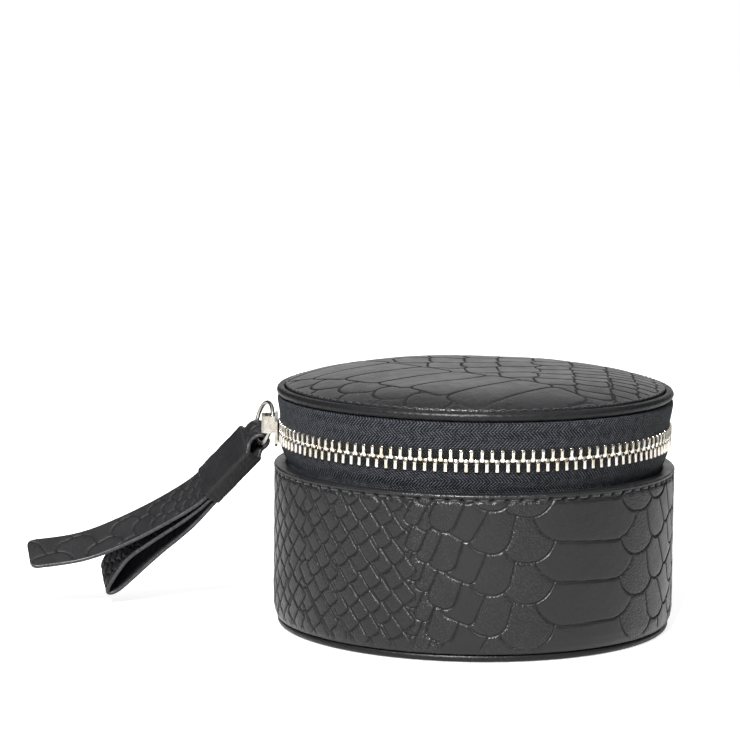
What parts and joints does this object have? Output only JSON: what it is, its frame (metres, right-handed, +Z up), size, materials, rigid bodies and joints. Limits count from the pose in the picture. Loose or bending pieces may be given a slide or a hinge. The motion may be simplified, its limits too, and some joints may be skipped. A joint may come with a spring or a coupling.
{
  "type": "jewellery case",
  "caption": "Round leather jewellery case with a padded lid that zips almost all the way round, a back hinge, ring rolls inside and a folded leather pull on a wire ring.",
  "frame": {"origin": "centre of the base's flat underside", "axes": "+Z up through the lid, -Y to the front, +Y to the hinge, +X to the right seen from the front"},
  "size_m": [0.1245, 0.1397, 0.0637],
  "materials": {
    "embossed_leather": "satin, snakeskin embossed",
    "plain_leather": "satin, fine grain",
    "zip_tape": "matt herringbone weave",
    "zip_metal": "polished nickel",
    "nickel": "polished nickel",
    "suede": "matt brushed microsuede",
    "board": "matt fibreboard",
    "foam": "matt foam",
    "cotton_cord": "matt twisted cord"
  },
  "bodies": {
    "case": {"base_wall_leather": "embossed_leather", "base_wall_board": "board", "base_piping": "plain_leather", "base_piping_cord": "cotton_cord", "base_bottom_leather": "plain_leather", "base_bottom_board": "board", "base_liner_board": "board", "base_liner_suede": "suede", "floor_pad": "suede", "front_divider": "suede", "back_divider": "suede", "ring_roll_front": "suede", "ring_roll_middle": "suede", "ring_roll_back": "suede", "zip_tape_lower": "zip_tape", "zip_teeth_lower": "zip_metal", "zip_stops_lower": "zip_metal", "hinge_panel_lower": "plain_leather"},
    "lid": {"lid_top_leather": "embossed_leather", "lid_foam": "foam", "lid_board": "board", "lid_collar": "plain_leather", "lid_pad": "suede", "lid_piping": "plain_leather", "lid_piping_cord": "cotton_cord", "zip_tape_upper": "zip_tape", "zip_teeth_upper": "zip_metal", "zip_stops_upper": "zip_metal", "hinge_panel_upper": "plain_leather"},
    "slider": {"slider_body": "nickel", "slider_cap": "nickel"},
    "ring": {"pull_ring": "nickel"},
    "strap": {"pull_strap": "embossed_leather", "strap_sleeve": "embossed_leather"}
  },
  "joints": [
    {"name": "lid_hinge", "type": "hinge", "parent": "case", "child": "lid", "pos_m": [0, 0.05, 0.0481], "axis": [-1, 0, 0], "range_deg": [0, 110]},
    {"name": "zip_travel", "type": "hinge", "parent": "case", "child": "slider", "pos_m": [0, 0, 0.0481], "axis": [0, 0, 1], "range_deg": [0, 262], "deforming": ["zip_teeth_lower", "zip_teeth_upper"]},
    {"name": "ring_swing", "type": "hinge", "parent": "slider", "child": "ring", "pos_m": [-0.03715, 0.03437, 0.05], "axis": [0.2601, 0.065, 0.9634], "range_deg": [-4, 50]},
    {"name": "strap_swing", "type": "hinge", "parent": "ring", "child": "strap", "pos_m": [-0.03504, 0.04195, 0.04569], "axis": [-0.4408, -0.7483, -0.4956], "range_deg": [-55, 3]}
  ]
}
